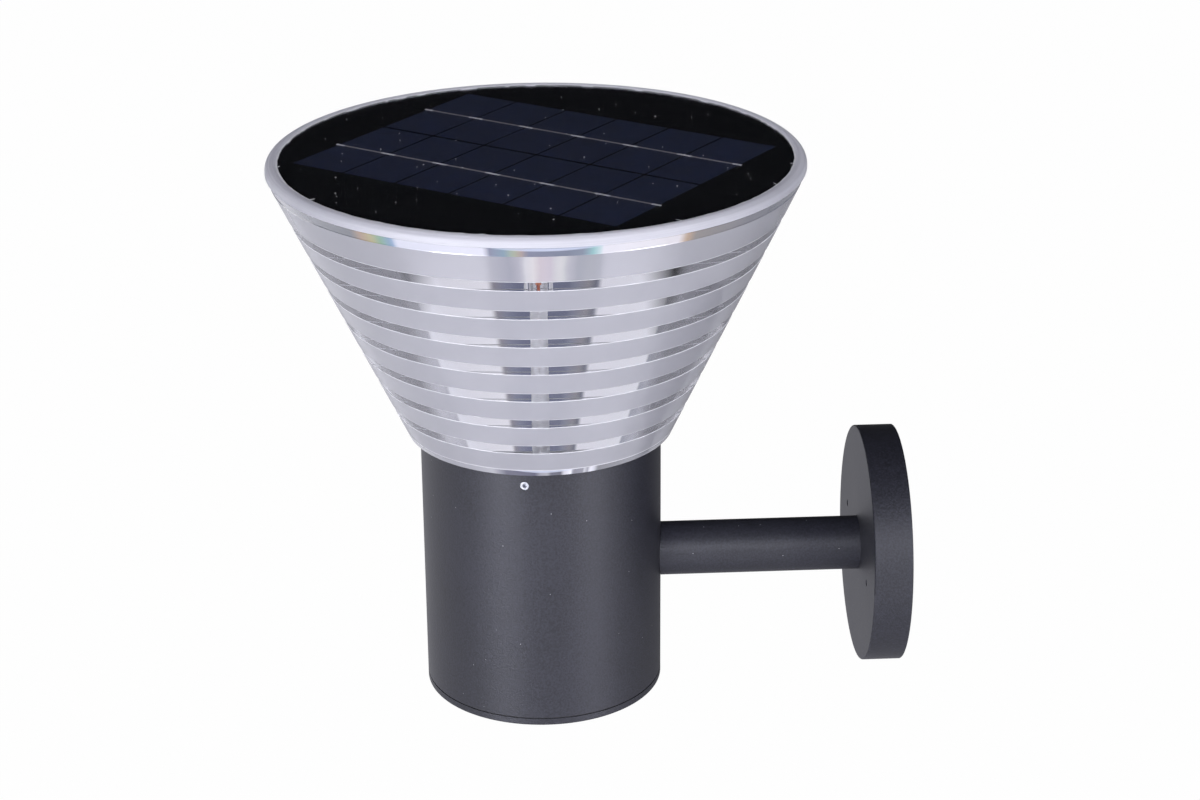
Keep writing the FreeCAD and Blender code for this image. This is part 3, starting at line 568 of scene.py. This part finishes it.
def finishAt(reach, height):
    # which finish the diffuser has at this distance from its axis and this height
    look = diffuser
    rimLow, rimHigh = look["rimGroove"]
    if reach < look["pocketRadius"] + look["boreSlack"] and height < look["pocketFloor"] + look["boreSlack"]:
        return "drilled_acrylic"
    if height > rimHigh and reach > look["recessRadius"] - look["wallSlack"]:
        return "bead_acrylic"
    if reach <= sidePoint(height)[0] - look["skin"]:
        return "clear_acrylic"
    if rimLow < height < rimHigh:
        return "rim_glints"
    if look["footHeight"] < height < look["clearFoot"]:
        return "foot_glints"
    if height <= look["clearFoot"]:
        return "clear_acrylic"
    for low, high in look["grooves"]:
        if low < height < high:
            bevel = height < low + look["lowerLip"] or height > high - look["upperLip"]
            return "edge_acrylic" if bevel else "clear_acrylic"
    return "edge_acrylic" if height < look["clearFoot"] + look["upperLip"] else "frosted_acrylic"


def makeDiffuser():
    shape = spinLoop(outlineDiffuser(), diffuser["steps"])
    finishes = ["clear_acrylic", "frosted_acrylic", "drilled_acrylic", "bead_acrylic", "edge_acrylic",
                "rim_glints", "foot_glints"]
    for face in shape.faces:
        middle = face.calc_center_median()
        reach = math.hypot(middle.x / mm - lampAxis, middle.y / mm)
        face.material_index = finishes.index(finishAt(reach, middle.z / mm - lampLow))
    piece = finishPiece("diffuser", shape, finishes, diffuser["sharp"])
    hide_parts("diffuser_cone")
    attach(piece, "lamp")


makeClearAcrylic()
makeFrostedAcrylic(diffuser["grooves"][0][1])
makeBeadAcrylic()
makeEdgeAcrylic()
makeGlintAcrylic("rim_glints", acrylic["rimGlints"], *diffuser["rimGroove"])
makeGlintAcrylic("foot_glints", acrylic["footGlints"], diffuser["footHeight"], diffuser["clearFoot"])
makeDrilledAcrylic()
makeDiffuser()
print("diffuser made")


panel = {
    "turn": -36.0,              # ribbons' direction from +X, degrees
    "cellPitch": 22.4,          # along the ribbon, mm
    "cellsPerRow": 6,
    "cellDark": (0.0075, 0.0120, 0.031),
    "cellLight": (0.0125, 0.0205, 0.056),
    "cellRough": (0.35, 0.2),   # least, and how much it varies
    "cellRelief": (0.1, 0.01),
    "cellSpecular": 0.05,
    "cellCoat": (0.6, 0.04),    # weight and roughness
    "flakes": 220.0,            # crystals per metre
    "flakeShare": 0.6,          # how much of the tone comes from them, the rest from grain
    "grain": 1500.0,
    "fingers": (1.7, 0.04),     # fine silver lines: pitch in mm, and half their width in pitches
    "finger": (0.05, 0.055, 0.075),
    "fingerShare": 0.35,
    "dash": 5.0,                # length of a ribbon's bright part at each gap, mm
    "dashEdge": 0.8,
    "ribbonBright": white,
    "ribbonDull": (0.26, 0.25, 0.25),
    "ribbonWorn": (0.14, 0.13, 0.13),
    "patchiness": 1200.0,
    "wearRange": (0.4, 0.6),
    "wearShare": 0.35,
    "ribbonRough": (0.55, 0.1),
    "ribbonSpecular": 0.3,
    "resin": (0.97, 0.97, 0.98),
    "resinIor": 1.40,
    "resinRough": (0.01, 0.02),
    "resinClouds": 25.0,
    "opening": (0.92, 0.92, 0.94),      # what the resin leaves of a lamp's light
    "fineDust": (150.0, 0.034, 0.07),   # cells per metre, size in cells, share of cells with a speck
    "coarseDust": (70.0, 0.024, 0.10),
    "dustSkin": 0.3,            # dust lies no deeper than this, mm
    "speck": (0.80, 0.80, 0.84),
    "speckRough": 0.8,
}


def alongPanel(graph):
    # distance along the ribbons in mm, from the panel's middle
    centred = graph.add("Mapping", {"vector_type": "TEXTURE"},
                        {"Vector": graph.place(), "Location": (lampAxis * mm, 0.0, 0.0),
                         "Rotation": (0.0, 0.0, math.radians(panel["turn"])), "Scale": (mm, mm, mm)})
    return graph.axes(centred)[0]


def makeCellFinish():
    graph = newMaterial("solar_cell")
    where = graph.place()
    flakes = graph.add("TexVoronoi", {"feature": "F1"}, {"Vector": where, "Scale": panel["flakes"]}, "Color")
    flake = graph.add("SeparateColor", None, {0: flakes})
    grain = graph.noise(where, panel["grain"], "grain")
    tone = flake * panel["flakeShare"] + grain * (1 - panel["flakeShare"])
    pitch, half = panel["fingers"]
    lines = alongPanel(graph) / pitch
    fingers = (lines.calc("FRACT", lines) - 0.5).distance() < half
    colour = graph.tint(tone, panel["cellDark"], panel["cellLight"])
    colour = graph.tint(fingers * panel["fingerShare"], colour, panel["finger"])
    rough, spread = panel["cellRough"]
    weight, coatRough = panel["cellCoat"]
    graph.finish(graph.gloss(Base_Color=colour, Roughness=grain * spread + rough,
                             Normal=graph.bump(grain, *panel["cellRelief"]),
                             Specular_IOR_Level=panel["cellSpecular"], Coat_Weight=weight,
                             Coat_Roughness=coatRough))


def makeRibbonFinish():
    # bright over the gaps between cells, dull and worn over the cells
    graph = newMaterial("silver_ribbon")
    shift = 0.0 if panel["cellsPerRow"] % 2 == 0 else 0.5
    along = alongPanel(graph) / panel["cellPitch"] + shift
    gapNear = (along - along.calc("ROUND", along)).distance() * panel["cellPitch"]
    half = panel["dash"] / 2
    bright = 1 - gapNear.stretch(half, half + panel["dashEdge"])
    patchiness = graph.noise(graph.place(), panel["patchiness"], "scuff").stretch(*panel["wearRange"])
    colour = graph.tint(bright, panel["ribbonDull"], panel["ribbonBright"])
    colour = graph.tint(patchiness * panel["wearShare"], colour, panel["ribbonWorn"])
    rough, spread = panel["ribbonRough"]
    graph.finish(graph.gloss(Base_Color=colour, Roughness=rough - bright * spread + patchiness * spread,
                             Specular_IOR_Level=panel["ribbonSpecular"]))


def makePanelClear(top):
    # clear resin that bends the view but lets the lamps' light straight in, with dust on its top
    graph = newMaterial("panel_clear")
    where = graph.place()
    dustAndSparkle = (addSpecks(graph, where, *panel["fineDust"], "2D")
            + addSpecks(graph, where, *panel["coarseDust"], "2D"))
    surface = graph.around()[2] > top - panel["dustSkin"]
    rough, spread = panel["resinRough"]
    clouds = graph.noise(where, panel["resinClouds"], "cloud")
    resin = graph.glass(panel["resin"], clouds * spread + rough, panel["resinIor"])
    specks = graph.gloss(Base_Color=panel["speck"], Roughness=panel["speckRough"])
    opening = graph.add("BsdfTransparent", None, {"Color": panel["opening"]})
    shadow = graph.add("LightPath", None, None, "Is Shadow Ray")
    dusty = graph.blendShaders(dustAndSparkle.stretch(0.0, 1.0) * surface, resin, specks)
    graph.finish(graph.blendShaders(shadow, dusty, opening))


sealant = {
    "inner": 90.62,
    "outer": 91.08,
    "low": 200.3,
    "top": 203.75,              # the cover's top
    "creep": 0.20,              # how far the glue runs over the cover, mm
    "swell": 0.16,              # how far it stands above the cover
    # its ridge: which edge, mm from there, and share of the swell
    "ridge": [("outer", 0.0, 0.6), ("outer", -0.14, 1.0), ("inner", 0.05, 0.7)],
    "lip": 0.01,                # how thick it ends on the cover
    "tuck": 0.06,               # and how far it goes down beside it
    "heave": 0.08,              # how much its height varies
    "heaveFrom": 0.05,          # for what stands higher above the cover than this
    "still": (0.1, 0.01),       # nothing moves this far below the cover, or this near the outer edge
    "steps": 720,
    "sharp": 40.0,
    "seed": 11,
    "blobs": 34,
    "blobWidth": (0.5, 1.6),    # degrees
    "blobSize": (0.06, 0.22),   # mm
    "waves": 7,
    "wavesAround": (5, 90),
    # slivers: degrees from the front, length in mm, swing from the middle in degrees
    "burrs": [(-84, 1.5, 35), (-58.5, 2.2, -30), (29.5, 2.4, 40), (61.9, 2.0, -25), (78, 1.5, 20),
              (112, 1.2, -30), (-131, 1.4, 30)],
    "burrRise": 8.0,            # they lie almost flat on the cover
    "burrWidth": 0.13,
    "burrTip": 0.3,             # tip's width, in widths of the foot
    "burrShift": 0.4,           # how far the middle lies over the cover, in lengths
    "burrSides": 6,
    "light": (0.85, 0.85, 0.88),
    "dark": (0.55, 0.55, 0.58),
    "lumps": 500.0,
    "relief": (0.5, 0.15),
    "rough": (0.5, 0.3),
    "specular": 0.25,
}


def makeSealantFinish():
    graph = newMaterial("clear_sealant")
    lumps = graph.noise(graph.place(), sealant["lumps"], "scuff")
    rough, spread = sealant["rough"]
    graph.finish(graph.gloss(Base_Color=graph.tint(lumps, sealant["dark"], sealant["light"]),
                             Roughness=lumps * spread + rough, Normal=graph.bump(lumps, *sealant["relief"]),
                             Specular_IOR_Level=sealant["specular"]))


def makeSealant():
    # an uneven line of glue around the cover, with a few slivers lying on it
    look = sealant
    inner, outer, top, creep = look["inner"], look["outer"], look["top"], look["creep"]
    draw = random.Random(look["seed"])
    blobs = [(draw.uniform(-180, 180), draw.uniform(*look["blobWidth"]), draw.uniform(*look["blobSize"]))
             for _ in range(look["blobs"])]
    waves = [(draw.randint(*look["wavesAround"]), draw.uniform(0, math.tau)) for _ in range(look["waves"])]
    ridge = [(look[edge] + shift, top + look["swell"] * share) for edge, shift, share in look["ridge"]]
    shape = spinLoop([(inner, look["low"]), (outer, look["low"]), *ridge, (inner - creep, top + look["lip"]),
                      (inner, top - look["tuck"])], look["steps"])
    stillBelow, stillRim = look["still"]
    for corner in shape.verts:
        x, y, height = corner.co.x / mm - lampAxis, corner.co.y / mm, corner.co.z / mm - lampLow
        reach = math.hypot(x, y)
        if height < top - stillBelow or reach > outer - stillRim:
            continue
        turn = math.degrees(math.atan2(x, -y))
        swing = sum(math.sin(math.radians(turn) * count + phase) for count, phase in waves) / len(waves)
        for place, width, size in blobs:
            gap = abs((turn - place + 180) % 360 - 180)
            swing += size * max(0.0, 1 - (gap / width) ** 2) / creep
        scale = (reach - (outer - reach) / (outer - inner + creep) * creep * swing) / reach
        lift = look["heave"] * swing if height > top + look["heaveFrom"] else 0.0
        corner.co = lampPoint(x * scale, height + lift, y * scale)
    for place, length, lean in look["burrs"]:
        turn = math.radians(place)
        foot = lampPoint(inner * math.sin(turn), top, -inner * math.cos(turn))
        tilt = (Matrix.Rotation(turn + math.radians(lean), 4, "Z")
                @ Matrix.Rotation(math.radians(look["burrRise"] - 90), 4, "X"))
        shift = Matrix.Translation((0, 0, length * mm * look["burrShift"]))
        bmesh.ops.create_cone(shape, cap_ends=True, cap_tris=False, segments=look["burrSides"],
                              radius1=look["burrWidth"] * mm,
                              radius2=look["burrWidth"] * look["burrTip"] * mm, depth=length * mm,
                              matrix=Matrix.Translation(foot) @ tilt @ shift)
    piece = finishPiece("sealant_line", shape, ["clear_sealant"], look["sharp"])
    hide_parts("panel_sealant")
    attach(piece, "lamp")


makeCellFinish()
makeRibbonFinish()
makePanelClear(sealant["top"])
makeSealantFinish()
makeSealant()
print("panel finishes made")


electronics = {
    "boardDark": (0.006, 0.060, 0.028),
    "boardLight": (0.012, 0.105, 0.050),
    "boardMask": 60.0,
    "maskRange": (0.4, 0.6),
    "boardRough": (0.25, 0.15),     # least, and how much it varies
    "trace": (0.030, 0.190, 0.090),
    "traceShare": 0.6,
    "traces": (160.0, 0.06, 0.35),  # scale, gap and offset
    "traceRelief": (0.2, 0.03),
    "wrap": (0.020, 0.10, 0.30),
    "wrapScuffed": (0.05, 0.16, 0.38),
    "wrapEnd": (0.62, 0.62, 0.64),
    "wrapEndHeight": 1.2,           # mm
    "scuffs": 300.0,
    "scuffRange": (0.45, 0.65),
    "scuffShare": 0.5,
    "wrapRough": (0.3, 0.2),
    "phosphor": (0.84, 0.66, 0.16),
    "phosphorPale": (0.90, 0.78, 0.34),
    "phosphorGrain": 2500.0,
    "phosphorRough": (0.3, 0.2),
}


def makeBoardFinish():
    graph = newMaterial("green_board")
    where = graph.place()
    scale, gap, offset = electronics["traces"]
    cells = graph.add("TexBrick", {"offset": offset},
                      {"Vector": where, "Scale": scale, "Mortar Size": gap}, "Fac")
    mask = graph.noise(where, electronics["boardMask"], "grain")
    colour = graph.tint(mask.stretch(*electronics["maskRange"]), electronics["boardDark"],
                        electronics["boardLight"])
    colour = graph.tint(cells * electronics["traceShare"], colour, electronics["trace"])
    rough, spread = electronics["boardRough"]
    graph.finish(graph.gloss(Base_Color=colour, Roughness=mask * spread + rough,
                             Normal=graph.bump(cells, *electronics["traceRelief"])))


def makeWrapFinish():
    # the battery cells' sleeve leaves their ends bare
    graph = newMaterial("cell_wrap")
    where = graph.place()
    height = graph.axes(where)[2]
    low, high = (value.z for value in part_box("battery_cells"))
    bare = electronics["wrapEndHeight"] * mm
    ends = (height < low + bare) + (height > high - bare)
    scuff = graph.noise(where, electronics["scuffs"], "cloud").stretch(*electronics["scuffRange"])
    colour = graph.tint(scuff * electronics["scuffShare"], electronics["wrap"], electronics["wrapScuffed"])
    colour = graph.tint(ends, colour, electronics["wrapEnd"])
    rough, spread = electronics["wrapRough"]
    graph.finish(graph.gloss(Base_Color=colour, Roughness=scuff * spread + rough, Metallic=ends))


def makePhosphorFinish():
    graph = newMaterial("led_phosphor")
    grain = graph.noise(graph.place(), electronics["phosphorGrain"], "scuff")
    colour = graph.tint(grain, electronics["phosphor"], electronics["phosphorPale"])
    rough, spread = electronics["phosphorRough"]
    graph.finish(graph.gloss(Base_Color=colour, Roughness=grain * spread + rough))


makeBoardFinish()
makeWrapFinish()
makePhosphorFinish()

for name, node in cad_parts.items():
    for place in node.material_slots:
        kind = place.material.name.split(".")[0] if place.material else ""
        if kind in materials:
            place.material = materials[kind]
        else:
            print("no finish for", name, kind)
print("finishes set,", len(materials))


room = {
    "wall": (0.58, 0.59, 0.64),         # what lights the lamp from the sides
    "ceiling": (0.42, 0.42, 0.45),
    "wallTop": (5.0, 28.0),             # wall fades into ceiling, degrees above the floor
    "mirrored": (0.10, 0.10, 0.11),     # horizon that gloss picks up
    "mirroredTop": (0.0, 12.0),
    "flag": (0.004, 0.004, 0.005),      # black flag that the panel mirrors
    "flagLow": (11.0, 13.0),
    "repeat": 45.0,                     # half the angle after which strip and cards come back, degrees
    # what is seen through the acrylic, by degrees from straight behind: a dark strip between white cards
    "pattern": [(-45, (0.52, 0.52, 0.57)), (-30, (0.36, 0.36, 0.41)), (-21.3, (0.27, 0.28, 0.34)),
                (-20.9, (0.70, 0.70, 0.77)), (-7.6, (0.68, 0.67, 0.75)), (-6.9, (0.11, 0.12, 0.17)),
                (-5.6, (0.22, 0.21, 0.24)), (-3.6, (0.18, 0.19, 0.26)), (-2.6, (0.12, 0.13, 0.20)),
                (4.5, (0.12, 0.13, 0.21)), (6.6, (0.17, 0.18, 0.26)), (8.2, (0.22, 0.21, 0.25)),
                (9.0, (0.74, 0.73, 0.80)), (16, (0.69, 0.68, 0.76)), (22.2, (0.70, 0.70, 0.79)),
                (22.6, (0.40, 0.40, 0.46)), (30, (0.46, 0.46, 0.51)), (45, (0.52, 0.52, 0.57))],
}


def makeWorld():
    world = bpy.data.worlds.new("studio")
    world.use_nodes = True
    scene.world = world
    graph = Graph(world.node_tree)
    x, y, z = graph.axes(graph.add("TexCoord", None, None, "Generated"))
    turn = x.bearing(y)
    rise = z.calc("ARCSINE", z) * perRadian
    repeat = room["repeat"]
    seen = graph.ramp(turn.calc("WRAP", turn, repeat, -repeat), room["pattern"], repeat)
    seen = graph.tint(rise.stretch(*room["flagLow"]), seen, room["flag"])
    light = graph.tint(rise.stretch(*room["wallTop"]), room["wall"], room["ceiling"])
    dim = graph.tint(rise.stretch(*room["mirroredTop"]), room["mirrored"], room["flag"])
    path = graph.add("LightPath", None, None, "Is Camera Ray")
    colour = graph.tint(path.out("Is Glossy Ray"), light, dim)
    colour = graph.tint(path.out("Is Transmission Ray"), colour, seen)
    colour = graph.tint(path, colour, white)
    sky = graph.add("Background", None, {"Color": colour, "Strength": 1.0})
    graph.add("OutputWorld", None, {"Surface": sky})


floor = {
    "drop": 0.75,                   # below the lamp, metres
    "size": 6.0,
    "dark": (0.80, 0.80, 0.80),
    "light": (0.84, 0.84, 0.84),
    "speckle": 30.0,
    "rough": 0.9,
    "white": 0.985,                 # share of plain white that the camera, gloss and clear pieces see
    "gloss": (0.92, 0.92, 1.0),     # what gloss picks up from it
    "shade": (0.30, 1.10),          # darker under the lamp, from and to these distances in metres
    "shadeDepth": 0.28,
    "right": (-26.0, -14.0),        # and to the right, by degrees from straight behind
    "rightEnd": (95.0, 110.0),
    "rightDepth": 0.30,
    "far": (0.9, 1.4),              # more so beyond these distances in metres
    "farSide": (-3.0, 1.0),
    "farEnd": (60.0, 80.0),
    "farDepth": 0.5,
}


def makeFloor():
    shape = bmesh.new()
    bmesh.ops.create_grid(shape, x_segments=1, y_segments=1, size=floor["size"])
    bmesh.ops.translate(shape, verts=shape.verts, vec=(0, 0, lampLow * mm - floor["drop"]))
    material = "floor_white"
    graph = newMaterial(material)
    where = graph.place()
    speckle = graph.noise(where, floor["speckle"], "cloth")
    cloth = graph.gloss(Base_Color=graph.tint(speckle, floor["dark"], floor["light"]), Roughness=floor["rough"])
    x, y, _ = graph.axes(where)
    x = x - lampAxis * mm
    reach, turn = x.span(y), x.bearing(y)
    near = 1 - reach.stretch(*floor["shade"])
    right = turn.stretch(*floor["right"]) * (1 - turn.stretch(*floor["rightEnd"]))
    far = turn.stretch(*floor["farSide"]) * (1 - turn.stretch(*floor["farEnd"]))
    far = far * reach.stretch(*floor["far"])
    # painted shade: what gloss sees of the floor is darker under the lamp, to its right and far off
    level = (1 - near * floor["shadeDepth"]) * (1 - right * floor["rightDepth"]) * (1 - far * floor["farDepth"])
    gloss = graph.tint(level, (0.0, 0.0, 0.0), floor["gloss"])
    path = graph.add("LightPath", None, None, "Is Camera Ray")
    colour = graph.tint(path.out("Is Glossy Ray"), white, gloss)
    colour = graph.tint(path, colour, white)
    plain = graph.add("Emission", None, {"Color": colour, "Strength": 1.0})
    direct = (path + path.out("Is Glossy Ray") + path.out("Is Transmission Ray")).stretch(0.0, 1.0)
    graph.finish(graph.blendShaders(direct * floor["white"], cloth, plain))
    finishPiece("floor", shape, [material])


lampAim = (-0.12, 0.0, 0.04)
# degrees round from the front and above the floor, metres, watts; a fill only lifts what is matt
lamps = {
    "softboxLeft": {"turn": -38.0, "rise": 20.0, "away": 1.3, "size": (0.34, 0.50), "power": 13.5,
                    "colour": (0.88, 0.90, 1.0), "fill": False},
    "stripLeft": {"turn": -38.0, "rise": -18.0, "away": 1.3, "size": (0.34, 0.50), "power": 6.2,
                  "colour": (0.88, 0.90, 1.0), "fill": False},
    "softboxRight": {"turn": 44.0, "rise": 20.0, "away": 1.3, "size": (0.34, 0.50), "power": 9.0,
                     "colour": (0.88, 0.89, 1.0), "fill": False},
    "stripRight": {"turn": 44.0, "rise": -18.0, "away": 1.3, "size": (0.34, 0.50), "power": 4.5,
                   "colour": (0.88, 0.89, 1.0), "fill": False},
    "sideLeft": {"turn": -118.0, "rise": 10.0, "away": 1.4, "size": (0.6, 0.8), "power": 5.0,
                 "colour": (1.0, 0.99, 0.98), "fill": False},
    "brow": {"turn": 0.0, "rise": 20.0, "away": 1.3, "size": (0.50, 0.12), "power": 3.6,
             "colour": (0.86, 0.88, 1.0), "fill": False},
    "front": {"turn": -4.0, "rise": 12.0, "away": 1.6, "size": (1.5, 1.0), "power": 27.0,
              "colour": (0.95, 0.95, 1.0), "fill": True},
}


def outward(turn, rise):
    # direction by degrees round from the front and degrees up
    turn, rise = math.radians(turn), math.radians(rise)
    return Vector((math.sin(turn) * math.cos(rise), -math.cos(turn) * math.cos(rise), math.sin(rise)))


def makeLamps():
    aim = Vector(lampAim)
    for name, look in lamps.items():
        data = bpy.data.lights.new(name, "AREA")
        data.shape = "RECTANGLE"
        data.size, data.size_y = look["size"]
        data.energy = look["power"]
        data.color = look["colour"]
        lamp = bpy.data.objects.new(name, data)
        scene.collection.objects.link(lamp)
        lamp.location = aim + outward(look["turn"], look["rise"]) * look["away"]
        lamp.rotation_euler = (aim - lamp.location).to_track_quat("-Z", "Y").to_euler()
        lamp.visible_camera = lamp.visible_transmission = False
        lamp.visible_glossy = not look["fill"]
        lamp.visible_diffuse = look["fill"]


viewpoint = {
    "place": (-0.15795, -0.88726, 0.4212),
    "lens": 78.78,
    "sensor": 36.0,
    "clip": 0.01,
    "azimuth": -3.082,
    "pitch": 22.103,
    "roll": -0.408,
}


def makeCamera():
    turn, roll = math.radians(viewpoint["azimuth"]), math.radians(viewpoint["roll"])
    back = outward(viewpoint["azimuth"], viewpoint["pitch"])
    right = Vector((math.cos(turn), math.sin(turn), 0.0))
    up = back.cross(right)
    data = bpy.data.cameras.new("camera")
    data.sensor_width = viewpoint["sensor"]
    data.lens = viewpoint["lens"]
    data.clip_start = viewpoint["clip"]
    camera = bpy.data.objects.new("camera", data)
    scene.collection.objects.link(camera)
    rolledRight = right * math.cos(roll) + up * math.sin(roll)
    rolledUp = up * math.cos(roll) - right * math.sin(roll)
    axes = Matrix((rolledRight, rolledUp, back)).transposed().to_4x4()
    camera.matrix_world = Matrix.Translation(viewpoint["place"]) @ axes
    scene.camera = camera


makeWorld()
makeFloor()
makeLamps()
makeCamera()
print("studio set")
